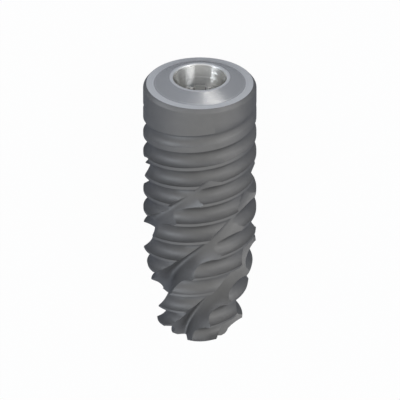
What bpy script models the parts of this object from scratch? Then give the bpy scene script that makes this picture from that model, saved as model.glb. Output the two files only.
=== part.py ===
"""Dental implant: a one-piece titanium root with a double thread, four flutes and an indexed socket.

Metres, +Z up. The implant lies on its side, as it comes to rest, with its socket towards -Y, and the
origin is on the floor under the middle of its length. It is modelled upright, with its apex at height
zero on the Z axis, and each solid is laid down as it is made. Depths are measured down from the flat
rim, and angles are turned about the upright axis.
"""

import math

import bmesh
import bpy

# Overall form: a cylinder, a long taper and a chamfered apex
BODY_DIAMETER = 0.00400
BODY_LENGTH = 0.01000
TAPER_LENGTH = 0.00345
TAPER_MIDDLE_HEIGHT = 0.00200
TAPER_MIDDLE_DIAMETER = 0.00343
SHOULDER_DIAMETER = 0.00299
SHOULDER_HEIGHT = 0.00039
APEX_FLAT_DIAMETER = 0.00176

# Rim, raised cone and socket
RIM_CHAMFER_WIDTH = 0.000105
RIM_CHAMFER_HEIGHT = 0.000130
CONE_BASE_DIAMETER = 0.00325
CONE_TOP_DIAMETER = 0.00211
CONE_HEIGHT = 0.00025
CONE_BULGE = 0.000035
MOUTH_DIAMETER = 0.00188
SOCKET_CONE_DEPTH = 0.00082
SOCKET_HALF_ANGLE = math.radians(12)
INDEX_SLOTS = 8
INDEX_SLOT_DIAMETER = 0.00156
INDEX_LAND_DIAMETER = 0.001425
INDEX_SLOT_HALF_TURN = math.radians(13.4)
INDEX_WALL_TURN = math.radians(5.6)
INDEX_DEPTH = 0.00128
BORE_DIAMETER = 0.00110
BORE_DEPTH = 0.00320
BORE_TIP_ANGLE = math.radians(59)

# Thread: two round-bottomed grooves that sink in over most of their first turn
THREAD_STARTS = 2
THREAD_PITCH = 0.00075
THREAD_FIRST_DEPTH = 0.00071
THREAD_START_TURN = math.radians(35.5)
GROOVE_SINK_TURN = math.radians(345)
GROOVE_EDGE_SLANT = math.radians(78)
LAND_AT_COLLAR = 0.000120
LAND_AT_APEX = 0.000070
CORE_DIAMETER_AT_COLLAR = 0.00348
CORE_DIAMETER = 0.00336
CORE_DIAMETER_AT_APEX = 0.00192
CORE_TAPER_LENGTH = 0.00295

# Flutes: a steep cutting face above, a round root, and a long relief below
FLUTE_COUNT = 4
FLUTE_LEAD = 0.01040
FLUTE_TOP_DEPTH = 0.00231
FLUTE_START_TURN = math.radians(-63.5)
FLUTE_PLUNGE = 0.00100
FLUTE_DIVE_DEPTH = 0.00485
FLUTE_FLOOR_AT_TOP = 0.00340
FLUTE_FLOOR_AT_DIVE = 0.00334
FLUTE_FLOOR_AT_TAPER = 0.00258
FLUTE_FLOOR_AT_APEX = 0.00113
FLUTE_FACE_LEAN_AT_APEX = 0.55
FLUTE_ROOT_LENGTH = 0.00037
FLUTE_RELIEF_AT_TOP = 0.00092
FLUTE_RELIEF_AT_TAPER = 0.00118
FLUTE_RELIEF_AT_APEX = 0.00210
FLUTE_RELIEF_CURVE = 3.0

# Clearances of the cutters outside the body, and how finely round forms are divided
CUTTER_CLEARANCE = 0.00012
SEGMENTS = 38
GROOVE_STEPS = 6
ROOT_STEPS = 3
RELIEF_STEPS = 3
BULGE_STEPS = 3
TAPER_STEPS = 7

TITANIUM = (0.19, 0.19, 0.20, 1.0)


def clear_scene():
    """Take away whatever the scene holds before the part is modelled."""
    for thing in list(bpy.data.objects):
        bpy.data.objects.remove(thing, do_unlink=True)


def titanium():
    """Blasted titanium: dull grey metal."""
    material = bpy.data.materials.new("blasted_titanium")
    material.use_nodes = True
    shader = material.node_tree.nodes["Principled BSDF"]
    shader.inputs["Base Color"].default_value = TITANIUM
    shader.inputs["Metallic"].default_value = 1.0
    shader.inputs["Roughness"].default_value = 0.45
    return material


def laid_down(point):
    """Where a point of the upright implant goes when it lies on one facet of its collar."""
    across, away, height = point
    middle = (BODY_LENGTH + CONE_HEIGHT) / 2
    axis_height = BODY_DIAMETER / 2 * math.cos(math.pi / SEGMENTS)
    return (-across, middle - height, axis_height - away)


def new_object(name, points, faces):
    """A mesh object of triangles with its faces pointing out, laid down."""
    shape = bmesh.new()
    corners = [shape.verts.new(laid_down(point)) for point in points]
    for face in faces:
        shape.faces.new([corners[i] for i in face])
    bmesh.ops.triangulate(shape, faces=shape.faces)
    bmesh.ops.recalc_face_normals(shape, faces=shape.faces)
    mesh = bpy.data.meshes.new(name)
    shape.to_mesh(mesh)
    shape.free()
    thing = bpy.data.objects.new(name, mesh)
    bpy.context.collection.objects.link(thing)
    return thing


def polar(radius, turn, height):
    """The point at a radius and an angle about the axis."""
    return (radius * math.cos(turn), radius * math.sin(turn), height)


def turned_solid(name, profile, segments, turn=0.0):
    """Revolve a profile of (radius, height) points whose two ends lie on the axis."""
    inner = profile[1:-1]
    angles = [turn + 2 * math.pi * k / segments for k in range(segments)]
    points = [polar(radius, angle, height) for radius, height in inner for angle in angles]
    first, last = len(points), len(points) + 1
    points += [(0, 0, profile[0][1]), (0, 0, profile[-1][1])]
    faces = []
    for row in range(len(inner) - 1):
        for k in range(segments):
            here, beside = row * segments + k, row * segments + (k + 1) % segments
            faces.append((here, beside, beside + segments, here + segments))
    end = (len(inner) - 1) * segments
    for k in range(segments):
        beside = (k + 1) % segments
        faces.append((first, beside, k))
        faces.append((last, end + k, end + beside))
    return new_object(name, points, faces)


def lofted_solid(name, sections):
    """Join closed sections of equal point counts into one solid with flat ends."""
    count = len(sections[0])
    points = [point for section in sections for point in section]
    faces = []
    for row in range(len(sections) - 1):
        for k in range(count):
            here, beside = row * count + k, row * count + (k + 1) % count
            faces.append((here, beside, beside + count, here + count))
    end = (len(sections) - 1) * count
    faces.append(tuple(range(count)))
    faces.append(tuple(end + k for k in reversed(range(count))))
    return new_object(name, points, faces)


def blend(start, end, share):
    """A value part of the way from start to end."""
    return start + (end - start) * min(max(share, 0.0), 1.0)


def station_slope(stations, index):
    """Slope of the smooth curve at a station: level at a peak, else between its neighbours' slopes."""
    chords = []
    for k in (index, index + 1):
        if 0 < k < len(stations):
            (start, low), (end, high) = stations[k - 1], stations[k]
            chords.append((high - low) / (end - start))
    before, after = chords[0], chords[-1]
    if before * after <= 0:
        return 0.0
    return 2 * before * after / (before + after)


def smooth_value(stations, place):
    """A value on the smooth curve through stations of (place, value), which never overshoots them."""
    index = 0
    while index < len(stations) - 2 and place > stations[index + 1][0]:
        index += 1
    (start, low), (end, high) = stations[index], stations[index + 1]
    run = end - start
    share = min(max((place - start) / run, 0.0), 1.0)
    rise = share * share * (3 - 2 * share)
    first = station_slope(stations, index) * share * (1 - share) ** 2
    last = station_slope(stations, index + 1) * share**2 * (1 - share)
    return low + (high - low) * rise + run * (first - last)


def outer_radius(depth):
    """Radius of the crests at a depth below the rim."""
    stations = [
        (BODY_LENGTH - TAPER_LENGTH, BODY_DIAMETER / 2),
        (BODY_LENGTH - TAPER_MIDDLE_HEIGHT, TAPER_MIDDLE_DIAMETER / 2),
        (BODY_LENGTH - SHOULDER_HEIGHT, SHOULDER_DIAMETER / 2),
    ]
    return smooth_value(stations, depth)


def core_radius(depth):
    """Radius of the bottom of the thread's grooves at a depth below the rim."""
    taper_top = BODY_LENGTH - CORE_TAPER_LENGTH
    if depth < taper_top:
        share = (depth - THREAD_FIRST_DEPTH) / (taper_top - THREAD_FIRST_DEPTH)
        return blend(CORE_DIAMETER_AT_COLLAR, CORE_DIAMETER, share) / 2
    return blend(CORE_DIAMETER, CORE_DIAMETER_AT_APEX, (depth - taper_top) / CORE_TAPER_LENGTH) / 2


def flute_floor_radius(depth):
    """Radius of the bottom of the flutes at a depth below the rim."""
    stations = [
        (FLUTE_TOP_DEPTH, BODY_DIAMETER / 2),
        (FLUTE_TOP_DEPTH + FLUTE_PLUNGE, FLUTE_FLOOR_AT_TOP / 2),
        (FLUTE_DIVE_DEPTH, FLUTE_FLOOR_AT_DIVE / 2),
        (BODY_LENGTH - TAPER_LENGTH, FLUTE_FLOOR_AT_TAPER / 2),
        (BODY_LENGTH, FLUTE_FLOOR_AT_APEX / 2),
    ]
    return smooth_value(stations, depth)


def flute_relief(depth):
    """How far down a flute's relief reaches from its root, at a depth below the rim."""
    stations = [
        (FLUTE_TOP_DEPTH, FLUTE_RELIEF_AT_TOP),
        (BODY_LENGTH - TAPER_LENGTH, FLUTE_RELIEF_AT_TAPER),
        (BODY_LENGTH, FLUTE_RELIEF_AT_APEX),
    ]
    return smooth_value(stations, depth)


def outer_profile():
    """Outside of the blank from the mouth of the socket to the apex, as (radius, height) points."""
    points = []
    for step in range(BULGE_STEPS + 1):
        share = step / BULGE_STEPS
        radius = blend(CONE_TOP_DIAMETER, CONE_BASE_DIAMETER, share) / 2
        lift = CONE_HEIGHT * (1 - share) + CONE_BULGE * 4 * share * (1 - share)
        points.append((radius, BODY_LENGTH + lift))
    points.append((BODY_DIAMETER / 2 - RIM_CHAMFER_WIDTH, BODY_LENGTH))
    points.append((BODY_DIAMETER / 2, BODY_LENGTH - RIM_CHAMFER_HEIGHT))
    for step in range(TAPER_STEPS + 1):
        height = blend(TAPER_LENGTH, SHOULDER_HEIGHT, step / TAPER_STEPS)
        points.append((outer_radius(BODY_LENGTH - height), height))
    points.append((APEX_FLAT_DIAMETER / 2, 0.0))
    points.append((0.0, 0.0))
    return points


def socket_profile():
    """Inside of the socket from the bottom of the screw bore to the mouth, as (radius, height) points."""
    mouth = BODY_LENGTH + CONE_HEIGHT
    cone_end = mouth - SOCKET_CONE_DEPTH
    cone_radius = MOUTH_DIAMETER / 2 - SOCKET_CONE_DEPTH * math.tan(SOCKET_HALF_ANGLE)
    index_end = cone_end - INDEX_DEPTH
    bore_end = index_end - BORE_DEPTH
    tip = bore_end - BORE_DIAMETER / 2 / math.tan(BORE_TIP_ANGLE)
    return [
        (0.0, tip),
        (BORE_DIAMETER / 2, bore_end),
        (BORE_DIAMETER / 2, cone_end),
        (cone_radius, cone_end),
        (MOUTH_DIAMETER / 2, mouth),
    ]


def index_cutter():
    """Star-shaped prism that cuts the index's slots between the socket's cone and the screw bore."""
    cone_end = BODY_LENGTH + CONE_HEIGHT - SOCKET_CONE_DEPTH
    outline = []
    for slot in range(INDEX_SLOTS):
        middle = 2 * math.pi * slot / INDEX_SLOTS
        foot = INDEX_SLOT_HALF_TURN + INDEX_WALL_TURN
        outline.append((INDEX_LAND_DIAMETER / 2, middle - foot))
        outline.append((INDEX_SLOT_DIAMETER / 2, middle - INDEX_SLOT_HALF_TURN))
        outline.append((INDEX_SLOT_DIAMETER / 2, middle))
        outline.append((INDEX_SLOT_DIAMETER / 2, middle + INDEX_SLOT_HALF_TURN))
        outline.append((INDEX_LAND_DIAMETER / 2, middle + foot))
    levels = [cone_end - INDEX_DEPTH, cone_end + CUTTER_CLEARANCE]
    sections = [[polar(radius, turn, level) for radius, turn in outline] for level in levels]
    return lofted_solid("index_cutter", sections)


def groove_section(turn, depth, sunk):
    """Section of a groove in the half plane at an angle: an elliptic arc, closed outside the body."""
    share = depth / BODY_LENGTH
    land = blend(LAND_AT_COLLAR, LAND_AT_APEX, share)
    half_width = (THREAD_PITCH - land) / 2 / math.sin(GROOVE_EDGE_SLANT)
    full = outer_radius(depth) - core_radius(depth)
    reach = full / (1 - math.cos(GROOVE_EDGE_SLANT))
    centre = outer_radius(depth) + reach - full * sunk
    outside = max(centre, BODY_DIAMETER / 2) + CUTTER_CLEARANCE
    points = [polar(outside, turn, BODY_LENGTH - depth + half_width)]
    for step in range(GROOVE_STEPS + 1):
        slant = math.pi * (step / GROOVE_STEPS - 0.5)
        radius = centre - reach * math.cos(slant)
        height = BODY_LENGTH - depth - half_width * math.sin(slant)
        points.append(polar(radius, turn, height))
    points.append(polar(outside, turn, BODY_LENGTH - depth - half_width))
    return points


def groove_cutter(start):
    """One helical groove, from where it leaves the surface under the collar to below the apex."""
    lead = THREAD_PITCH * THREAD_STARTS
    first_turn = THREAD_START_TURN + 2 * math.pi * start / THREAD_STARTS
    swept = (BODY_LENGTH - THREAD_FIRST_DEPTH + THREAD_PITCH) / lead * 2 * math.pi
    count = math.ceil(swept / (2 * math.pi) * SEGMENTS)
    sections = []
    for step in range(count + 1):
        angle = 2 * math.pi * step / SEGMENTS
        depth = THREAD_FIRST_DEPTH + lead * angle / (2 * math.pi)
        sunk = min(angle / GROOVE_SINK_TURN, 1.0)
        sections.append(groove_section(first_turn - angle, depth, sunk))
    return lofted_solid(f"groove_cutter_{start + 1}", sections)


def flute_section(turn, depth):
    """Section of a flute in the half plane at an angle: cutting face, round root and relief."""
    floor = flute_floor_radius(depth)
    outside = BODY_DIAMETER / 2 + CUTTER_CLEARANCE
    lean = blend(0.0, FLUTE_FACE_LEAN_AT_APEX, (depth - FLUTE_TOP_DEPTH) / (BODY_LENGTH - FLUTE_TOP_DEPTH))
    relief = flute_relief(depth)
    root = min(FLUTE_ROOT_LENGTH, outside - floor, relief / 2)
    relief_foot = blend(floor, outside, (root / relief) ** FLUTE_RELIEF_CURVE)
    outline = [(outside, -lean * (outside - floor))]
    for step in range(ROOT_STEPS + 1):
        way = step / ROOT_STEPS
        face_share, foot_share, relief_share = (1 - way) ** 2, 2 * way * (1 - way), way**2
        radius = face_share * (floor + root) + foot_share * floor + relief_share * relief_foot
        outline.append((radius, root * (relief_share - lean * face_share)))
    for step in range(1, RELIEF_STEPS + 1):
        fall = blend(root, relief, step / RELIEF_STEPS)
        outline.append((blend(floor, outside, (fall / relief) ** FLUTE_RELIEF_CURVE), fall))
    return [polar(radius, turn, BODY_LENGTH - depth - fall) for radius, fall in outline]


def flute_cutter(number):
    """One helical flute, from its first nick in the crests to below the apex."""
    first_turn = FLUTE_START_TURN + 2 * math.pi * number / FLUTE_COUNT
    face_rise = FLUTE_FACE_LEAN_AT_APEX * (BODY_DIAMETER - FLUTE_FLOOR_AT_APEX) / 2
    swept = (BODY_LENGTH - FLUTE_TOP_DEPTH + face_rise + THREAD_PITCH) / FLUTE_LEAD * 2 * math.pi
    count = math.ceil(swept / (2 * math.pi) * SEGMENTS)
    sections = []
    for step in range(count + 1):
        angle = 2 * math.pi * step / SEGMENTS
        depth = FLUTE_TOP_DEPTH + FLUTE_LEAD * angle / (2 * math.pi)
        sections.append(flute_section(first_turn - angle, depth))
    return lofted_solid(f"flute_cutter_{number + 1}", sections)


def cut(body, cutter):
    """Take a cutter's shape out of the body, and keep the cutter as a guide that isn't rendered."""
    cutter.hide_render = True
    cutter.display_type = "WIRE"
    boolean = body.modifiers.new(cutter.name, "BOOLEAN")
    boolean.operation = "DIFFERENCE"
    boolean.solver = "EXACT"
    boolean.object = cutter


def implant_body():
    """The implant: a turned blank with its index, grooves and flutes cut out."""
    profile = socket_profile() + outer_profile()
    body = turned_solid("implant_body", profile, SEGMENTS)
    cut(body, index_cutter())
    for start in range(THREAD_STARTS):
        cut(body, groove_cutter(start))
    for number in range(FLUTE_COUNT):
        cut(body, flute_cutter(number))
    body.data.materials.append(titanium())
    body.data.shade_smooth()
    body.data.set_sharp_from_angle(angle=math.radians(35))


clear_scene()
implant_body()
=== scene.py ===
import logging
import math
from dataclasses import dataclass, field
from enum import Enum
from typing import Callable, Sequence

import bpy
from mathutils import Matrix, Vector


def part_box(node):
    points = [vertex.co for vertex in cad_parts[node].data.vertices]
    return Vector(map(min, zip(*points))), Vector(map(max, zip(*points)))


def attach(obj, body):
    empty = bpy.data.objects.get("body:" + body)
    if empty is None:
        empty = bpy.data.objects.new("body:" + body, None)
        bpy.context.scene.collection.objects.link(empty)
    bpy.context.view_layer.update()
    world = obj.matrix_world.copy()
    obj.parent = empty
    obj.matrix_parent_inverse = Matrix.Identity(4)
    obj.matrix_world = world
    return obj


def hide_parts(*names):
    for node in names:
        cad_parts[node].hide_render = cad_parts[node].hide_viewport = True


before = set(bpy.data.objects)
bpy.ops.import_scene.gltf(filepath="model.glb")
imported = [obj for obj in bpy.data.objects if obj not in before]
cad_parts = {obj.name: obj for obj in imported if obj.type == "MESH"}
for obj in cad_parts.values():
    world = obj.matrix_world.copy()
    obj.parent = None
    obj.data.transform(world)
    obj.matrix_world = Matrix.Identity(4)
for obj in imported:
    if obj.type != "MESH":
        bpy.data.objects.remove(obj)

# Looks of a one-piece titanium dental implant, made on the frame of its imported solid.
#
# Lengths are in metres and +Z is up. The implant is modelled upright, with its apex at height zero on the
# Z axis, and laid down at the end with its socket towards -Y. Depths are measured down from the flat rim,
# and turns are angles about the upright axis. The bore's thread, the tool's grooves on the cone and in the
# socket, and the small roundings of the edges are made here alone, because the solid leaves them out.

MM = 0.001
FULL_TURN = 2 * math.pi
CAD_NODE = "implant_body"
AXIS_HEIGHT = sum(corner[2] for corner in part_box(CAD_NODE)) / 2

# Points nearer than this are merged, first in a newly turned solid and then in the body after its cuts.
TURNED_WELD = MM * 1e-5
BODY_WELD = MM * 2e-5

# Each groove that a lathe tool leaves has this many points. The grooves' depth wanders by this share, at
# these two rates from point to point.
GROOVE_POINTS = 4
GROOVE_SPREAD = 0.12
GROOVE_RATES = (0.37, 0.11)

# The circle that a wound tube starts from, and its rise in a turn, until each ring gets its own shape.
SEED_RADIUS = MM * 0.2
SEED_PLACE = MM * 2
SEED_RISE = MM

# The places of a mix node's two colours among its inputs, and of the mixed colour among its outputs.
MIX_FIRST, MIX_SECOND, MIX_RESULT = 6, 7, 2

Station = tuple[float, float]
Colour = tuple[float, float, float]
Section = Callable[[int, int], tuple[float, float, float]]

log = logging.getLogger("implant")


class Finish(Enum):
    """Which of the implant's finishes a face has, as its material slot."""

    BLASTED = 0
    GROUND = 1
    TURNED = 2
    REAMED = 3
    # Painted light: a lighter, less metallic copy of the machined titanium on the index's lands and slots.
    BROACHED = 4
    # Painted shade: a near-black copy of the machined titanium on the index's side walls and in the bore.
    BORED = 5


def lying(length: float) -> Matrix:
    """Find how an upright implant is laid down.

    Args:
        length: Its whole length.

    Returns:
        The matrix that turns its head to -Y and its front up, and puts the middle over the origin.
    """
    move = Matrix.Translation((0, length / 2, AXIS_HEIGHT))
    return move @ Matrix.Rotation(math.pi, 4, "Z") @ Matrix.Rotation(-math.pi / 2, 4, "X")


def blend(start: float, end: float, share: float) -> float:
    """Return the value part of the way from start to end, held between the two."""
    return start + (end - start) * min(max(share, 0.0), 1.0)


def station_slope(stations: Sequence[Station], index: int) -> float:
    """Find the slope of the smooth curve at one of its stations.

    Args:
        stations: Places and values, in order of place.
        index: Which station.

    Returns:
        Zero at a peak or a hollow, and else a slope between those of the two neighbouring chords.
    """
    chords = []
    for k in (index, index + 1):
        if 0 < k < len(stations):
            (start, low), (end, high) = stations[k - 1], stations[k]
            chords.append((high - low) / (end - start))
    before, after = chords[0], chords[-1]
    if before * after <= 0:
        return 0.0
    return 2 * before * after / (before + after)


def smooth_value(stations: Sequence[Station], place: float) -> float:
    """Read the smooth curve through stations, which never overshoots them.

    Args:
        stations: Places and values, in order of place.
        place: Where to read it.

    Returns:
        The curve's value there, or the end station's value outside them.
    """
    index = 0
    while index < len(stations) - 2 and place > stations[index + 1][0]:
        index += 1
    (start, low), (end, high) = stations[index], stations[index + 1]
    run = end - start
    share = min(max((place - start) / run, 0.0), 1.0)
    rise = share * share * (3 - 2 * share)
    first = station_slope(stations, index) * share * (1 - share) ** 2
    last = station_slope(stations, index + 1) * share**2 * (1 - share)
    return low + (high - low) * rise + run * (first - last)


def rounded(before: Station, corner: Station, after: Station, length: float, steps: int) -> list[Station]:
    """Round off a corner of a profile.

    Args:
        before: The point before the corner, as radius and height.
        corner: The corner itself.
        after: The point after it.
        length: How far along each side the rounding reaches.
        steps: How many chords it has.

    Returns:
        The points of the rounding, from its start on the first side to its end on the second.
    """
    here = Vector(corner)
    first = here + (Vector(before) - here).normalized() * length
    last = here + (Vector(after) - here).normalized() * length
    points = []
    for step in range(steps + 1):
        way = step / steps
        point = first * (1 - way) ** 2 + here * 2 * way * (1 - way) + last * way**2
        points.append((point.x, point.y))
    return points


def grooved(start: Station, end: Station, pitch: float, tilt: float) -> list[Station]:
    """Cover a straight stretch of a profile with the fine grooves that a lathe tool leaves.

    Args:
        start: Where the stretch starts, as radius and height.
        end: Where it ends.
        pitch: Rough distance between grooves.
        tilt: The steepest angle of a groove's side to the stretch.

    Returns:
        Its points from start to end, four to a groove, the shallower grooves among deeper ones.
    """
    first, last = Vector(start), Vector(end)
    way = last - first
    grooves = max(round(way.length / pitch), 1)
    steps = grooves * GROOVE_POINTS
    depth = math.tan(tilt) * way.length / grooves / GROOVE_POINTS
    outward = Vector((way.y, -way.x)).normalized()
    points = []
    for step in range(steps + 1):
        wander = GROOVE_SPREAD * math.sin(step * GROOVE_RATES[0]) * math.sin(step * GROOVE_RATES[1])
        wave = math.sin(step * FULL_TURN / GROOVE_POINTS) * (1 - GROOVE_SPREAD + wander)
        point = first + way * step / steps + outward * depth * wave
        points.append((point.x, point.y))
    return points


def select_only(thing: bpy.types.Object) -> None:
    """Make an object the only selected one and the active one."""
    bpy.ops.object.select_all(action="DESELECT")
    thing.select_set(True)
    bpy.context.view_layer.objects.active = thing


def start_editing(thing: bpy.types.Object, mode: str) -> None:
    """Open an object by itself in edit mode, to select vertices, edges or faces."""
    select_only(thing)
    bpy.ops.object.mode_set(mode="EDIT")
    bpy.ops.mesh.select_mode(type=mode)


def end_editing() -> None:
    """Point the faces of the open mesh outwards and leave edit mode."""
    bpy.ops.mesh.select_all(action="SELECT")
    bpy.ops.mesh.normals_make_consistent(inside=False)
    bpy.ops.object.mode_set(mode="OBJECT")


def apply_modifier(thing: bpy.types.Object, name: str) -> None:
    """Apply one of an object's modifiers."""
    select_only(thing)
    bpy.ops.object.modifier_apply(modifier=name)


def turned_solid(name: str, profile: Sequence[Station], segments: int) -> bpy.types.Object:
    """Turn a profile about the axis, as on a lathe.

    Args:
        name: Name of the new object.
        profile: Radius and height of each point, with both ends on the axis.
        segments: How many segments a full turn has.

    Returns:
        A closed solid.
    """
    first_radius, first_height = profile[0]
    bpy.ops.mesh.primitive_plane_add(size=MM, location=(0, 0, 0))
    thing = bpy.context.object
    thing.name = name
    start_editing(thing, "VERT")
    bpy.ops.mesh.merge(type="CENTER")
    bpy.ops.transform.translate(value=(first_radius, 0, first_height))
    radius, height = first_radius, first_height
    for next_radius, next_height in profile[1:]:
        move = (next_radius - radius, 0, next_height - height)
        bpy.ops.mesh.extrude_region_move(TRANSFORM_OT_translate={"value": move})
        radius, height = next_radius, next_height
    bpy.ops.mesh.select_all(action="SELECT")
    bpy.ops.mesh.spin(
        steps=segments, angle=FULL_TURN, center=(0, 0, 0), axis=(0, 0, 1), use_auto_merge=False
    )
    bpy.ops.mesh.select_all(action="SELECT")
    bpy.ops.mesh.remove_doubles(threshold=TURNED_WELD)
    end_editing()
    return thing


def wound_tube(name: str, corners: int, turns: float, segments: int, section: Section) -> bpy.types.Object:
    """Wind a closed section around the axis with a Screw modifier, and give each of its rings its shape.

    Args:
        name: Name of the new object.
        corners: How many points the section has.
        turns: How far it is wound, in turns.
        segments: How many rings a full turn has.
        section: Gives radius, turn and height of a point, from the number of its ring and of its corner.

    Returns:
        A closed solid with flat ends.
    """
    bpy.ops.object.select_all(action="DESELECT")
    bpy.ops.mesh.primitive_circle_add(
        vertices=corners, radius=SEED_RADIUS, location=(SEED_PLACE, 0, 0), rotation=(math.pi / 2, 0, 0)
    )
    thing = bpy.context.object
    thing.name = name
    bpy.ops.object.transform_apply(location=True, rotation=True, scale=True)
    rings = math.ceil(turns * segments) + 1
    screw = thing.modifiers.new("wind", "SCREW")
    screw.axis = "Z"
    screw.angle = FULL_TURN * turns
    screw.screw_offset = SEED_RISE * turns
    screw.steps = rings - 1
    screw.render_steps = rings - 1
    screw.use_merge_vertices = False
    apply_modifier(thing, screw.name)
    for index, point in enumerate(thing.data.vertices):
        radius, turn, height = section(index // corners, index % corners)
        point.co = (radius * math.cos(turn), radius * math.sin(turn), height)
    start_editing(thing, "EDGE")
    bpy.ops.mesh.select_all(action="DESELECT")
    bpy.ops.mesh.select_non_manifold(
        extend=False, use_wire=False, use_multi_face=False, use_non_contiguous=False
    )
    bpy.ops.mesh.fill_holes(sides=0)
    bpy.ops.mesh.select_all(action="SELECT")
    bpy.ops.mesh.quads_convert_to_tris(quad_method="BEAUTY", ngon_method="BEAUTY")
    end_editing()
    return thing


def cut(body: bpy.types.Object, cutter: bpy.types.Object) -> None:
    """Take a cutter's shape out of the body and remove the cutter."""
    boolean = body.modifiers.new("cut", "BOOLEAN")
    boolean.operation = "DIFFERENCE"
    boolean.solver = "MANIFOLD"
    boolean.object = cutter
    apply_modifier(body, boolean.name)
    name = cutter.name
    bpy.data.objects.remove(cutter, do_unlink=True)
    log.info("cut %s: %d faces", name, len(body.data.polygons))


@dataclass
class Socket:
    """The conical socket, its index and the threaded bore for the retaining screw."""

    mouth_diameter: float = 1.92 * MM
    cone_depth: float = 0.82 * MM
    half_angle: float = math.radians(13.3)
    slots: int = 8
    slot_diameter: float = 1.56 * MM
    land_diameter: float = 1.425 * MM
    slot_half_turn: float = math.radians(13.4)
    slot_steps: int = 6
    wall_turn: float = math.radians(5.6)
    index_depth: float = 1.28 * MM
    index_overlap: float = 0.06 * MM
    bore_diameter: float = 1.10 * MM
    bore_depth: float = 3.20 * MM
    tip_angle: float = math.radians(59)
    screw_pitch: float = 0.30 * MM
    screw_groove: float = 0.13 * MM
    screw_flank_share: float = 0.46
    screw_lead_in: float = 0.25 * MM
    screw_end_gap: float = 0.75 * MM
    screw_root_inset: float = 0.04 * MM
    screw_tip_inset: float = 0.01 * MM
    screw_segments: int = 64
    screw_fade_rings: int = 24
    groove_pitch: float = 0.032 * MM
    groove_tilt: float = math.radians(17)

    def cone_radius(self) -> float:
        """Return the radius of the cone at its bottom."""
        return self.mouth_diameter / 2 - self.cone_depth * math.tan(self.half_angle)

    def cone_end(self, mouth: float) -> float:
        """Return the height of the cone's bottom, from the mouth's height."""
        return mouth - self.cone_depth

    def index_end(self, mouth: float) -> float:
        """Return the height of the index's bottom, from the mouth's height."""
        return self.cone_end(mouth) - self.index_depth

    def bore_end(self, mouth: float) -> float:
        """Return the height at which the bore's straight wall ends, from the mouth's height."""
        return self.index_end(mouth) - self.bore_depth

    def profile(self, mouth: float) -> list[Station]:
        """List the inside of the socket.

        Args:
            mouth: Height of the mouth.

        Returns:
            Radius and height of each point, from the bottom of the bore to the foot of the mouth's edge.
        """
        cone_end, bore_end = self.cone_end(mouth), self.bore_end(mouth)
        bore = self.bore_diameter / 2
        points = [(0.0, bore_end - bore / math.tan(self.tip_angle)), (bore, bore_end), (bore, cone_end)]
        foot = (self.cone_radius(), cone_end)
        return points + grooved(foot, (self.mouth_diameter / 2, mouth), self.groove_pitch, self.groove_tilt)

    def index_outline(self) -> list[tuple[float, float]]:
        """List the index's outline, slot by slot, as radius and turn of each point."""
        outline = []
        for slot in range(self.slots):
            middle = FULL_TURN * slot / self.slots
            foot = self.slot_half_turn + self.wall_turn
            outline.append((self.land_diameter / 2, middle - foot))
            for step in range(self.slot_steps + 1):
                turn = middle + self.slot_half_turn * (2 * step / self.slot_steps - 1)
                outline.append((self.slot_diameter / 2, turn))
            outline.append((self.land_diameter / 2, middle + foot))
            outline.append((self.land_diameter / 2, middle + FULL_TURN / self.slots / 2))
        return outline

    def index_cutter(self, mouth: float) -> bpy.types.Object:
        """Make the star-shaped prism that cuts the index's slots below the cone.

        Args:
            mouth: Height of the mouth.

        Returns:
            The cutter, from a circle primitive that is shaped and extruded.
        """
        bottom = self.index_end(mouth)
        outline = self.index_outline()
        bpy.ops.object.select_all(action="DESELECT")
        bpy.ops.mesh.primitive_circle_add(
            vertices=len(outline), radius=self.slot_diameter / 2, fill_type="NGON", location=(0, 0, 0)
        )
        cutter = bpy.context.object
        cutter.name = "index_cutter"
        for point, (radius, turn) in zip(cutter.data.vertices, outline):
            point.co = (radius * math.cos(turn), radius * math.sin(turn), bottom)
        start_editing(cutter, "FACE")
        bpy.ops.mesh.select_all(action="SELECT")
        rise = self.index_depth + self.index_overlap
        bpy.ops.mesh.extrude_region_move(TRANSFORM_OT_translate={"value": (0, 0, rise)})
        end_editing()
        return cutter

    def screw_cutter(self, mouth: float) -> bpy.types.Object:
        """Make the V-shaped groove of the bore's internal thread.

        Args:
            mouth: Height of the mouth.

        Returns:
            The cutter, which fades out at both ends.
        """
        top = self.index_end(mouth) - self.screw_lead_in
        bottom = top - self.bore_depth + self.screw_end_gap
        turns = (top - bottom) / self.screw_pitch
        rings = math.ceil(turns * self.screw_segments)
        inner = self.bore_diameter / 2 - self.screw_root_inset
        flank = self.screw_pitch * self.screw_flank_share

        def section(ring: int, corner: int) -> tuple[float, float, float]:
            """Return a triangle that points outwards."""
            turn = FULL_TURN * turns * ring / rings
            height = bottom + (top - bottom) * ring / rings
            fade = min(1.0, ring / self.screw_fade_rings, (rings - ring) / self.screw_fade_rings)
            tip = self.bore_diameter / 2 + self.screw_groove * fade - self.screw_tip_inset * (1 - fade)
            points = [(inner, turn, height - flank), (tip, turn, height), (inner, turn, height + flank)]
            return points[corner]

        return wound_tube("screw_thread_cutter", 3, turns, self.screw_segments, section)


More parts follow.
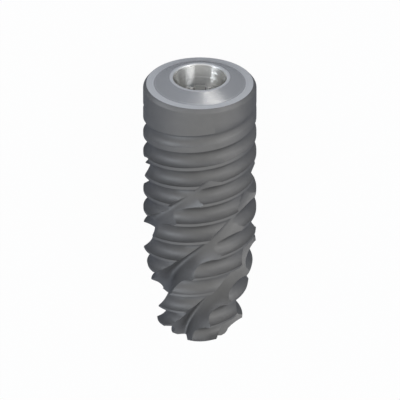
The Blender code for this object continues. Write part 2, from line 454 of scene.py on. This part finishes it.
@dataclass
class Blank:
    """The turned blank: collar, taper and apex outside, rim and raised cone on top."""

    diameter: float = 4.00 * MM
    length: float = 10.00 * MM
    taper_length: float = 3.45 * MM
    taper_middle_height: float = 2.00 * MM
    taper_middle_diameter: float = 3.43 * MM
    shoulder_diameter: float = 2.99 * MM
    shoulder_height: float = 0.39 * MM
    apex_flat_diameter: float = 1.76 * MM
    rim_chamfer_width: float = 0.105 * MM
    rim_chamfer_height: float = 0.130 * MM
    cone_base_diameter: float = 3.25 * MM
    cone_top_diameter: float = 2.11 * MM
    cone_height: float = 0.25 * MM
    cone_bulge: float = 0.004 * MM
    groove_pitch: float = 0.032 * MM
    groove_tilt: float = math.radians(17)
    edge_rounding: float = 0.018 * MM
    edge_steps: int = 3
    soft_rounding: float = 0.036 * MM
    soft_steps: int = 4
    collar_rows: int = 16
    taper_rows: int = 40
    segments: int = 144

    def crest_radius(self, depth: float) -> float:
        """Return the radius of the crests at a depth below the rim."""
        stations = [
            (self.length - self.taper_length, self.diameter / 2),
            (self.length - self.taper_middle_height, self.taper_middle_diameter / 2),
            (self.length - self.shoulder_height, self.shoulder_diameter / 2),
        ]
        return smooth_value(stations, depth)

    def mouth_height(self) -> float:
        """Return the height of the socket's mouth."""
        return self.length + self.cone_height

    def corners(self, socket: Socket) -> list[Station]:
        """List the sharp corners from the socket's mouth to the collar.

        Args:
            socket: The socket, for its mouth.

        Returns:
            Radius and height of each corner.
        """
        mouth = self.mouth_height()
        return [
            (socket.mouth_diameter / 2, mouth),
            (self.cone_top_diameter / 2, mouth),
            (self.cone_base_diameter / 2, self.length),
            (self.diameter / 2 - self.rim_chamfer_width, self.length),
            (self.diameter / 2, self.length - self.rim_chamfer_height),
        ]

    def cone_points(self) -> list[Station]:
        """List the bulged, grooved side of the raised cone, from its top to its base, without the ends."""
        top = (self.cone_top_diameter / 2, self.mouth_height())
        base = (self.cone_base_diameter / 2, self.length)
        points = []
        for radius, height in grooved(top, base, self.groove_pitch, self.groove_tilt)[2:-2]:
            share = (top[0] - radius) / (top[0] - base[0])
            points.append((radius, height + self.cone_bulge * 4 * share * (1 - share)))
        return points

    def profile(self, socket: Socket) -> list[Station]:
        """List the whole profile, from the bottom of the bore over the rim to the apex.

        Args:
            socket: The socket, for the inside.

        Returns:
            Radius and height of each point.
        """
        mouth_edge, cone_top, cone_base, rim_edge, collar_top = self.corners(socket)
        inside = socket.profile(self.mouth_height())[:-1]
        cone = self.cone_points()
        edge, steps = self.edge_rounding, self.edge_steps
        points = inside + rounded(inside[-1], mouth_edge, cone_top, edge, steps)
        points += rounded(mouth_edge, cone_top, cone[0], edge, steps) + cone + [cone_base]
        points += rounded(cone_base, rim_edge, collar_top, edge, steps)
        below = (self.diameter / 2, self.length - self.rim_chamfer_height * 2)
        points += rounded(rim_edge, collar_top, below, self.soft_rounding, self.soft_steps)
        points.append((self.diameter / 2, points[-1][1] - edge))
        for row in range(1, self.collar_rows):
            height = blend(below[1], self.taper_length, row / self.collar_rows)
            points.append((self.diameter / 2, height))
        for row in range(self.taper_rows):
            height = blend(self.taper_length, self.shoulder_height, row / self.taper_rows)
            points.append((self.crest_radius(self.length - height), height))
        shoulder = (self.shoulder_diameter / 2, self.shoulder_height)
        flat_edge = (self.apex_flat_diameter / 2, 0.0)
        points += rounded(points[-1], shoulder, flat_edge, self.soft_rounding, self.soft_steps)
        points += rounded(shoulder, flat_edge, (0.0, 0.0), edge, steps)
        points.append((0.0, 0.0))
        return points

    def build(self, socket: Socket) -> bpy.types.Object:
        """Turn the blank.

        Args:
            socket: The socket, for the inside.

        Returns:
            The blank as a closed solid.
        """
        return turned_solid("implant", self.profile(socket), self.segments)


@dataclass
class Thread:
    """The double thread: two round-bottomed grooves that sink in over most of their first turn."""

    starts: int = 2
    pitch: float = 0.75 * MM
    first_depth: float = 0.71 * MM
    start_turn: float = math.radians(35.5)
    sink_turn: float = math.radians(345)
    edge_slant: float = math.radians(78)
    land_at_collar: float = 0.120 * MM
    land_at_apex: float = 0.070 * MM
    core_at_collar: float = 3.48 * MM
    core: float = 3.36 * MM
    core_at_apex: float = 1.92 * MM
    core_taper: float = 2.95 * MM
    corners: int = 26
    segments: int = 120

    def core_radius(self, blank: Blank, depth: float) -> float:
        """Return the radius of the bottom of the grooves at a depth below the rim."""
        taper_top = blank.length - self.core_taper
        if depth < taper_top:
            share = (depth - self.first_depth) / (taper_top - self.first_depth)
            return blend(self.core_at_collar, self.core, share) / 2
        return blend(self.core, self.core_at_apex, (depth - taper_top) / self.core_taper) / 2

    def cutter(self, blank: Blank, start: int) -> bpy.types.Object:
        """Wind the elliptic section of one groove, which sinks in from the surface.

        Args:
            blank: The blank that it cuts.
            start: Which of the thread's starts.

        Returns:
            The cutter, from under the collar to below the apex.
        """
        lead = self.pitch * self.starts
        turns = (blank.length - self.first_depth + self.pitch) / lead
        rings = math.ceil(turns * self.segments)
        first_turn = self.start_turn + FULL_TURN * start / self.starts

        def section(ring: int, corner: int) -> tuple[float, float, float]:
            """Return a point of the ellipse, from the lowest ring to the highest."""
            angle = FULL_TURN * turns * (rings - ring) / rings
            depth = self.first_depth + lead * angle / FULL_TURN
            land = blend(self.land_at_collar, self.land_at_apex, depth / blank.length)
            half_width = (self.pitch - land) / 2 / math.sin(self.edge_slant)
            crest = blank.crest_radius(depth)
            full = crest - self.core_radius(blank, depth)
            reach = full / (1 - math.cos(self.edge_slant))
            centre = crest + reach - full * min(angle / self.sink_turn, 1.0)
            slant = FULL_TURN * corner / self.corners
            radius = centre - reach * math.cos(slant)
            return radius, first_turn - angle, blank.length - depth - half_width * math.sin(slant)

        return wound_tube(f"groove_cutter_{start + 1}", self.corners, turns, self.segments, section)


@dataclass
class Flutes:
    """The cutting flutes: a steep face above, a round root and a long relief below."""

    count: int = 4
    lead: float = 10.40 * MM
    top_depth: float = 2.31 * MM
    start_turn: float = math.radians(-63.5)
    plunge: float = 1.00 * MM
    dive_depth: float = 4.85 * MM
    floor_at_top: float = 3.40 * MM
    floor_at_dive: float = 3.34 * MM
    floor_at_taper: float = 2.58 * MM
    floor_at_apex: float = 1.13 * MM
    face_lean_at_apex: float = 0.55
    root_length: float = 0.28 * MM
    relief_at_top: float = 0.92 * MM
    relief_at_taper: float = 1.18 * MM
    relief_at_apex: float = 2.10 * MM
    relief_curve: float = 3.0
    clearance: float = 0.12 * MM
    overrun: float = 0.75 * MM
    root_steps: int = 9
    relief_steps: int = 14
    segments: int = 120

    def floor_radius(self, blank: Blank, depth: float) -> float:
        """Return the radius of the flutes' bottom at a depth below the rim."""
        stations = [
            (self.top_depth, blank.diameter / 2),
            (self.top_depth + self.plunge, self.floor_at_top / 2),
            (self.dive_depth, self.floor_at_dive / 2),
            (blank.length - blank.taper_length, self.floor_at_taper / 2),
            (blank.length, self.floor_at_apex / 2),
        ]
        return smooth_value(stations, depth)

    def relief(self, blank: Blank, depth: float) -> float:
        """Return how far down the relief reaches from the root, at a depth below the rim."""
        stations = [
            (self.top_depth, self.relief_at_top),
            (blank.length - blank.taper_length, self.relief_at_taper),
            (blank.length, self.relief_at_apex),
        ]
        return smooth_value(stations, depth)

    def outline(self, blank: Blank, depth: float) -> list[Station]:
        """List the flute's section at a depth.

        Args:
            blank: The blank that it cuts.
            depth: Depth of the root below the rim.

        Returns:
            Radius and fall below the root of each point, from the top of the face to the relief's end.
        """
        floor = self.floor_radius(blank, depth)
        outside = blank.diameter / 2 + self.clearance
        lean = blend(0.0, self.face_lean_at_apex, (depth - self.top_depth) / (blank.length - self.top_depth))
        relief = self.relief(blank, depth)
        root = min(self.root_length, outside - floor, relief / 2)
        relief_foot = blend(floor, outside, (root / relief) ** self.relief_curve)
        points = [(outside, -lean * (outside - floor))]
        for step in range(self.root_steps + 1):
            way = step / self.root_steps
            face_share, foot_share, relief_share = (1 - way) ** 2, 2 * way * (1 - way), way**2
            radius = face_share * (floor + root) + foot_share * floor + relief_share * relief_foot
            points.append((radius, root * (relief_share - lean * face_share)))
        for step in range(1, self.relief_steps + 1):
            fall = blend(root, relief, step / self.relief_steps)
            points.append((blend(floor, outside, (fall / relief) ** self.relief_curve), fall))
        return points

    def cutter(self, blank: Blank, number: int) -> bpy.types.Object:
        """Wind the section of one flute.

        Args:
            blank: The blank that it cuts.
            number: Which flute.

        Returns:
            The cutter, from its first nick in the crests to below the apex.
        """
        face_rise = self.face_lean_at_apex * (blank.diameter - self.floor_at_apex) / 2
        turns = (blank.length - self.top_depth + face_rise + self.overrun) / self.lead
        rings = math.ceil(turns * self.segments)
        first_turn = self.start_turn + FULL_TURN * number / self.count
        outlines = []
        for ring in range(rings + 1):
            depth = self.top_depth + self.lead * turns * (rings - ring) / rings
            outlines.append((depth, self.outline(blank, depth)))

        def section(ring: int, corner: int) -> tuple[float, float, float]:
            """Return a point of the section, from the lowest ring to the highest."""
            depth, outline = outlines[ring]
            radius, fall = outline[corner]
            angle = FULL_TURN * turns * (rings - ring) / rings
            return radius, first_turn - angle, blank.length - depth - fall

        corners = len(outlines[0][1])
        return wound_tube(f"flute_cutter_{number + 1}", corners, turns, self.segments, section)


class Value:
    """A socket of a shader tree, on which Python's arithmetic adds Math nodes."""

    def __init__(self, nodes: "Nodes", socket: bpy.types.NodeSocket) -> None:
        """Wrap an output socket of a tree."""
        self.nodes = nodes
        self.socket = socket

    def _math(self, operation: str, *values: "Value | float", clamp: bool = False) -> "Value":
        """Add a Math node of an operation on values."""
        settings = {"operation": operation, "use_clamp": clamp}
        return self.nodes.add("ShaderNodeMath", settings, dict(enumerate(values)))

    def __add__(self, other: "Value | float") -> "Value":
        """Return self + other."""
        return self._math("ADD", self, other)

    def __radd__(self, other: float) -> "Value":
        """Return other + self."""
        return self._math("ADD", other, self)

    def __sub__(self, other: "Value | float") -> "Value":
        """Return self - other."""
        return self._math("SUBTRACT", self, other)

    def __rsub__(self, other: float) -> "Value":
        """Return other - self."""
        return self._math("SUBTRACT", other, self)

    def __mul__(self, other: "Value | float") -> "Value":
        """Return self * other."""
        return self._math("MULTIPLY", self, other)

    def __rmul__(self, other: float) -> "Value":
        """Return other * self."""
        return self._math("MULTIPLY", other, self)

    def __pow__(self, other: "Value | float") -> "Value":
        """Return self ** other."""
        return self._math("POWER", self, other)

    def clamped(self) -> "Value":
        """Return the value held between 0 and 1."""
        return self._math("ADD", self, 0.0, clamp=True)


class Nodes:
    """Builder of one shader tree."""

    def __init__(self, tree: bpy.types.NodeTree) -> None:
        """Empty a tree to build in it."""
        self.tree = tree
        tree.nodes.clear()

    def node(self, kind: str, settings: dict, inputs: dict) -> bpy.types.Node:
        """Add a node.

        Args:
            kind: The node's type.
            settings: Its properties, set first. "stops" gives a colour ramp's places and colours.
            inputs: A value or a link for each input, by name or number.

        Returns:
            The new node.
        """
        node = self.tree.nodes.new(kind)
        for name, setting in settings.items():
            if name == "stops":
                self._set_stops(node.color_ramp, setting)
            else:
                setattr(node, name, setting)
        for name, value in inputs.items():
            if isinstance(value, Value):
                self.tree.links.new(value.socket, node.inputs[name])
            else:
                node.inputs[name].default_value = value
        return node

    def add(self, kind: str, settings: dict, inputs: dict, output: int | str = 0) -> Value:
        """Add a node and return one of its outputs as a value."""
        return Value(self, self.node(kind, settings, inputs).outputs[output])

    def noise(self, place: Value, size: float, detail: float) -> Value:
        """Return smooth noise, from 0 to 1, whose patches are about one size across."""
        return self.add("ShaderNodeTexNoise", {}, {"Vector": place, "Scale": 1 / size, "Detail": detail})

    def relief(self, height: Value, depth: float) -> Value:
        """Return the normal of a surface that is raised by a height from 0 to 1, times a depth."""
        return self.add("ShaderNodeBump", {}, {"Height": height, "Distance": depth, "Strength": 1.0})

    def mix(self, share: "Value | float", first: "Value | tuple", second: "Value | tuple") -> Value:
        """Return a colour between two."""
        settings, inputs = {"data_type": "RGBA"}, {"Factor": share, MIX_FIRST: first, MIX_SECOND: second}
        return self.add("ShaderNodeMix", settings, inputs, output=MIX_RESULT)

    @staticmethod
    def _set_stops(ramp: bpy.types.ColorRamp, stops: Sequence[tuple[float, Colour]]) -> None:
        """Give a colour ramp its stops, each a place and a colour."""
        while len(ramp.elements) < len(stops):
            ramp.elements.new(1.0)
        for element, (place, colour) in zip(ramp.elements, stops):
            element.position = place
            element.color = (*colour, 1.0)


def start_material(name: str) -> tuple[bpy.types.Material, Nodes]:
    """Make a material and open its shader tree."""
    material = bpy.data.materials.new(name)
    material.use_nodes = True
    return material, Nodes(material.node_tree)


def shades(colour: Colour, spread: float) -> tuple[tuple[float, ...], tuple[float, ...]]:
    """Return a colour a share darker and the same share lighter, both with full alpha."""
    low = tuple(part * (1 - spread) for part in colour) + (1.0,)
    high = tuple(part * (1 + spread) for part in colour) + (1.0,)
    return low, high


@dataclass(frozen=True)
class BlastedTitanium:
    """Dull grit-blasted titanium of the outside: a fine grain and faint patches, with painted shade that
    darkens the colour in narrow hollows.
    """

    colour: Colour = (0.158, 0.158, 0.158)
    colour_spread: float = 0.08
    edge_tint: Colour = (0.30, 0.33, 0.42)
    edge_level: float = 0.1
    roughness: float = 0.52
    roughness_spread: float = 0.06
    metallic: float = 0.75
    grain: float = 0.030 * MM
    grain_share: float = 0.8
    patch: float = 0.35 * MM
    patch_share: float = 1.2
    bump: float = 0.0030 * MM
    # Painted shade in narrow hollows: how far the occlusion looks, how strongly it darkens the colour, and
    # its samples.
    painted_shade_reach: float = 0.30 * MM
    painted_shade_strength: float = 0.60
    painted_shade_samples: int = 8

    def material(self) -> bpy.types.Material:
        """Build the finish as a material."""
        material, nodes = start_material("blasted_titanium")
        place = nodes.add("ShaderNodeTexCoord", {}, {}, output="Object")
        patches = nodes.noise(place, self.patch, detail=3.0)
        grain = nodes.noise(place, self.grain, detail=2.0)
        low, high = shades(self.colour, self.colour_spread)
        shade = ((patches - 0.5) * self.patch_share + 0.5 + (grain - 0.5) * self.grain_share).clamped()
        # Painted shade: ambient occlusion darkens the base colour towards black in narrow hollows, where
        # shade falls.
        settings, inputs = {"samples": self.painted_shade_samples}, {"Distance": self.painted_shade_reach}
        open_sky = nodes.add("ShaderNodeAmbientOcclusion", settings, inputs, output="AO")
        hollow = (1.0 - open_sky) * self.painted_shade_strength
        shader = nodes.add(
            "ShaderNodeBsdfPrincipled",
            {},
            {
                "Base Color": nodes.mix(hollow, nodes.mix(shade, low, high), (0.0, 0.0, 0.0, 1.0)),
                "Metallic": self.metallic,
                "Roughness": patches * self.roughness_spread + (self.roughness - self.roughness_spread / 2),
                "Specular Tint": (*self.edge_tint, 1.0),
                "Specular IOR Level": self.edge_level,
                "Normal": nodes.relief(grain, self.bump),
            },
        )
        nodes.node("ShaderNodeOutputMaterial", {}, {"Surface": shader})
        return material


@dataclass(frozen=True)
class TurnedTitanium:
    """Bright machined titanium: rings about the axis, as a shallow relief and as bands of shade."""

    name: str
    colour: Colour
    roughness: float
    roughness_spread: float = 0.08
    metallic: float = 1.0
    ring: float = 0.014 * MM
    ring_depth: float = 0.003 * MM
    band: float = 0.056 * MM
    band_gain: float = 2.0
    band_spread: float = 0.10

    def material(self) -> bpy.types.Material:
        """Build the finish as a material."""
        material, nodes = start_material(self.name)
        place = nodes.add("ShaderNodeTexCoord", {}, {}, output="Object")
        parts = nodes.node("ShaderNodeSeparateXYZ", {}, {0: place})
        across, along, height = (Value(nodes, parts.outputs[k]) for k in range(3))
        lift = height - AXIS_HEIGHT
        radius = (across * across + lift * lift) ** 0.5
        line = nodes.add("ShaderNodeCombineXYZ", {}, {0: radius, 1: along})
        rings = nodes.noise(line, self.ring, detail=1.0)
        bands = nodes.noise(line, self.band, detail=2.0)
        low, high = shades(self.colour, self.band_spread)
        shade = ((bands - 0.5) * self.band_gain + 0.5).clamped()
        shader = nodes.add(
            "ShaderNodeBsdfPrincipled",
            {},
            {
                "Base Color": nodes.mix(shade, low, high),
                "Metallic": self.metallic,
                "Roughness": bands * self.roughness_spread + (self.roughness - self.roughness_spread / 2),
                "Normal": nodes.relief(rings, self.ring_depth),
            },
        )
        nodes.node("ShaderNodeOutputMaterial", {}, {"Surface": shader})
        return material


@dataclass
class Implant:
    """The whole implant: blank, socket, thread and flutes, with a finish for each of its surfaces."""

    blank: Blank = field(default_factory=Blank)
    socket: Socket = field(default_factory=Socket)
    thread: Thread = field(default_factory=Thread)
    flutes: Flutes = field(default_factory=Flutes)
    smooth_angle: float = math.radians(36)
    slack: float = 0.003 * MM

    def cut_all(self) -> bpy.types.Object:
        """Turn the blank and cut its index, bore thread, grooves and flutes.

        Returns:
            The finished body.
        """
        body = self.blank.build(self.socket)
        mouth = self.blank.mouth_height()
        cut(body, self.socket.index_cutter(mouth))
        cut(body, self.socket.screw_cutter(mouth))
        for start in range(self.thread.starts):
            cut(body, self.thread.cutter(self.blank, start))
        for number in range(self.flutes.count):
            cut(body, self.flutes.cutter(self.blank, number))
        return body

    def finish_of(self, place: Vector) -> Finish:
        """Tell a face's finish.

        The slack is there because a face's centre lies a little inside the circle that its corners are on.

        Args:
            place: The face's centre on the upright implant.

        Returns:
            Ground on the flat rim and the mouth's ring, turned on the raised cone, reamed in the socket's
            cone, broached on the index's lands and slots with a lighter copy as painted light, bored on its
            side walls and below with a near-black copy as painted shade, else blasted.
        """
        blank, socket, slack = self.blank, self.socket, self.slack
        radius = place.xy.length
        mouth = blank.mouth_height()
        rim_edge = blank.diameter / 2 - blank.rim_chamfer_width
        if place.z > blank.length - slack and radius > socket.mouth_diameter / 2 - slack * 4:
            on_rim = blank.cone_base_diameter / 2 - slack < radius < rim_edge
            on_ring = radius < blank.cone_top_diameter / 2 + slack
            if radius > rim_edge + slack:
                return Finish.BLASTED
            return Finish.GROUND if on_rim or on_ring else Finish.TURNED
        below_bore = place.z < socket.bore_end(mouth) - socket.bore_diameter
        if radius > socket.mouth_diameter / 2 + slack or below_bore:
            return Finish.BLASTED
        if place.z > socket.cone_end(mouth) - slack:
            return Finish.REAMED
        # The side walls get the near-black copy as painted shade, and the lands and slots the lighter copy
        # as painted light.
        on_painted_shade_wall = socket.land_diameter / 2 + slack * 2 < radius < socket.slot_diameter / 2 - slack * 3
        in_index = place.z > socket.index_end(mouth) + slack
        return Finish.BROACHED if in_index and not on_painted_shade_wall else Finish.BORED

    def finishes(self) -> dict[Finish, BlastedTitanium | TurnedTitanium]:
        """List the finishes with their colours, their roughness, and how deep or how metallic they are."""
        fine, finest = 0.0010 * MM, 0.0005 * MM
        return {
            Finish.BLASTED: BlastedTitanium(),
            Finish.GROUND: TurnedTitanium("ground_titanium", (0.70, 0.70, 0.70), 0.36, ring_depth=fine),
            Finish.TURNED: TurnedTitanium("turned_titanium", (0.44, 0.44, 0.44), 0.26, ring_depth=finest),
            Finish.REAMED: TurnedTitanium("reamed_titanium", (0.56, 0.56, 0.55), 0.20, ring_depth=finest),
            # Painted light: a lighter, less metallic copy of the machined titanium, so the index's lands and
            # slots show bright deep in the socket.
            Finish.BROACHED: TurnedTitanium("broached_titanium_painted_light", (0.70, 0.70, 0.68), 0.35, metallic=0.35),
            # Painted shade: a near-black copy of the machined titanium for the index's side walls and the
            # bore below.
            Finish.BORED: TurnedTitanium("bored_titanium_painted_shade", (0.13, 0.13, 0.13), 0.30, metallic=0.80),
        }

    def dress(self, body: bpy.types.Object) -> None:
        """Give each face its finish and shade the round surfaces smooth.

        Args:
            body: The finished body.
        """
        finishes = self.finishes()
        body.data.materials.clear()
        for finish in Finish:
            body.data.materials.append(finishes[finish].material())
        for face in body.data.polygons:
            face.material_index = self.finish_of(face.center).value
        select_only(body)
        bpy.ops.object.shade_smooth_by_angle(angle=self.smooth_angle)

    def build(self) -> bpy.types.Object:
        """Make the implant and put it in the frame.

        Returns:
            The implant's object.
        """
        body = self.cut_all()
        start_editing(body, "VERT")
        bpy.ops.mesh.select_all(action="SELECT")
        bpy.ops.mesh.remove_doubles(threshold=BODY_WELD)
        bpy.ops.mesh.quads_convert_to_tris(quad_method="BEAUTY", ngon_method="BEAUTY")
        bpy.ops.object.mode_set(mode="OBJECT")
        self.dress(body)
        body.matrix_world = lying(self.blank.mouth_height())
        bpy.ops.object.transform_apply(location=True, rotation=True, scale=True)
        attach(body, "root")
        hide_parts(CAD_NODE)
        return body


@dataclass(frozen=True)
class Softbox:
    """A soft rectangular light: the way to it, its level width and upright height, power and tint."""

    name: str
    way: tuple[float, float, float]
    size: tuple[float, float]
    power: float
    tint: Colour = (1.0, 1.0, 1.0)
    distance: float = 0.12

    def hang(self) -> None:
        """Hang the light at its distance from the implant's middle and turn it to face there."""
        outward = Vector(self.way).normalized()
        turned = outward.to_track_quat("Z", "Y").to_euler()
        bpy.ops.object.light_add(type="AREA", location=outward * self.distance, rotation=turned)
        light = bpy.context.object
        light.name = self.name
        light.data.shape = "RECTANGLE"
        light.data.size, light.data.size_y = self.size
        light.data.energy = self.power
        light.data.color = self.tint
        light.visible_camera = False


@dataclass
class Studio:
    """Camera, floor, surroundings and lights, with left and right as in the photograph."""

    elevation: float = math.radians(29.4)
    lens: float = 1200.0
    sensor: float = 36.0
    clip_start: float = 0.001
    clip_end: float = 10.0
    picture_width: float = 400.0
    pixels_per_mm: float = 28.25
    axis_pixel: float = 199.8
    rim_pixel: float = 83.75
    floor_size: float = 0.8
    floor_paint: Colour = (0.40, 0.42, 0.46)
    floor_seen: float = 0.97
    floor_mirrored: float = 0.05
    sky_lean: float = 0.08
    sky: tuple[tuple[float, Colour], ...] = (
        (0.50, (0.46, 0.50, 0.58)),
        (0.60, (0.60, 0.62, 0.68)),
        (0.72, (0.84, 0.84, 0.86)),
        (0.86, (1.06, 1.06, 1.05)),
        (1.00, (1.12, 1.12, 1.10)),
    )
    softboxes: tuple[Softbox, ...] = (
        Softbox("right_strip", (-0.71, -0.42, 0.57), (0.018, 0.12), 0.034),
        Softbox("left_strip", (0.90, -0.41, 0.14), (0.016, 0.12), 0.060, (0.90, 0.95, 1.0)),
        Softbox("front_softbox", (-0.42, -0.90, 0.095), (0.085, 0.018), 0.028, (1.0, 0.98, 0.94)),
        Softbox("crown_softbox", (0.28, -0.89, 0.36), (0.10, 0.03), 0.012),
        Softbox("right_softbox", (-0.90, 0.35, 0.26), (0.04, 0.12), 0.015),
        Softbox("apex_softbox", (0.42, 0.86, 0.28), (0.06, 0.05), 0.030, (0.86, 0.93, 1.0)),
    )

    def camera(self, rim_height: float, laid: Matrix) -> None:
        """Place a long-lens camera so that the implant lies where the photograph shows it.

        Args:
            rim_height: Height of the flat rim of the upright implant.
            laid: How the upright implant was laid down.
        """
        width = self.picture_width / self.pixels_per_mm * MM
        distance = width * self.lens / self.sensor
        middle = self.picture_width / 2
        drop = (middle - self.rim_pixel) / self.pixels_per_mm / math.cos(self.elevation) * MM
        aside = (middle - self.axis_pixel) / self.pixels_per_mm * MM
        target = Vector((aside, 0, rim_height - drop))
        away = Vector((0, -math.cos(self.elevation), math.sin(self.elevation)))
        tilt = Matrix.Rotation(math.pi / 2 - self.elevation, 4, "X")
        place = laid @ Matrix.Translation(target + away * distance) @ tilt
        bpy.ops.object.camera_add(location=place.to_translation(), rotation=place.to_euler())
        camera = bpy.context.object
        camera.name = "camera"
        camera.data.lens = self.lens
        camera.data.sensor_width = self.sensor
        camera.data.clip_start = self.clip_start
        camera.data.clip_end = self.clip_end
        bpy.context.scene.camera = camera

    def floor(self) -> None:
        """Lay a plain floor that shows almost white and keeps a faint shadow."""
        bpy.ops.object.select_all(action="DESELECT")
        bpy.ops.mesh.primitive_plane_add(size=self.floor_size, location=(0, 0, 0))
        floor = bpy.context.object
        floor.name = "floor"
        material, nodes = start_material("floor_white")
        path = nodes.node("ShaderNodeLightPath", {}, {})
        in_view, in_gloss, in_glass = (
            Value(nodes, path.outputs[f"Is {kind} Ray"]) for kind in ("Camera", "Glossy", "Transmission")
        )
        seen = (in_view * self.floor_seen + (in_gloss + in_glass) * self.floor_mirrored).clamped()
        paint = nodes.add("ShaderNodeBsdfDiffuse", {}, {"Color": (*self.floor_paint, 1.0)})
        glow = nodes.add("ShaderNodeEmission", {}, {"Color": (1.0, 1.0, 1.0, 1.0), "Strength": 1.0})
        surface = nodes.add("ShaderNodeMixShader", {}, {0: seen, 1: paint, 2: glow})
        nodes.node("ShaderNodeOutputMaterial", {}, {"Surface": surface})
        floor.data.materials.append(material)

    def surroundings(self) -> None:
        """Surround the implant with soft light: white overhead, cooler low down and dimmer on the left."""
        world = bpy.data.worlds.new("studio")
        world.use_nodes = True
        nodes = Nodes(world.node_tree)
        way = nodes.add("ShaderNodeTexCoord", {}, {}, output="Generated")
        parts = nodes.node("ShaderNodeSeparateXYZ", {}, {0: way})
        aside, up = Value(nodes, parts.outputs[0]), Value(nodes, parts.outputs[2])
        place = up * 0.5 - aside * self.sky_lean + 0.5
        level = nodes.add("ShaderNodeValToRGB", {"stops": self.sky}, {0: place})
        back = nodes.add("ShaderNodeBackground", {}, {"Color": level, "Strength": 1.0})
        nodes.node("ShaderNodeOutputWorld", {}, {"Surface": back})
        bpy.context.scene.world = world

    def build(self, rim_height: float, laid: Matrix) -> None:
        """Set the whole studio up.

        Args:
            rim_height: Height of the flat rim of the upright implant.
            laid: How the upright implant was laid down.
        """
        self.camera(rim_height, laid)
        self.floor()
        self.surroundings()
        for softbox in self.softboxes:
            softbox.hang()
        bpy.context.scene.view_settings.view_transform = "Standard"


def main() -> None:
    """Build the implant and its studio."""
    logging.basicConfig(level=logging.INFO, format="%(name)s: %(message)s")
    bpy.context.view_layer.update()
    implant = Implant()
    body = implant.build()
    log.info("implant: %d triangles", len(body.data.polygons))
    Studio().build(implant.blank.length, lying(implant.blank.mouth_height()))


if __name__ == "__main__":
    main()
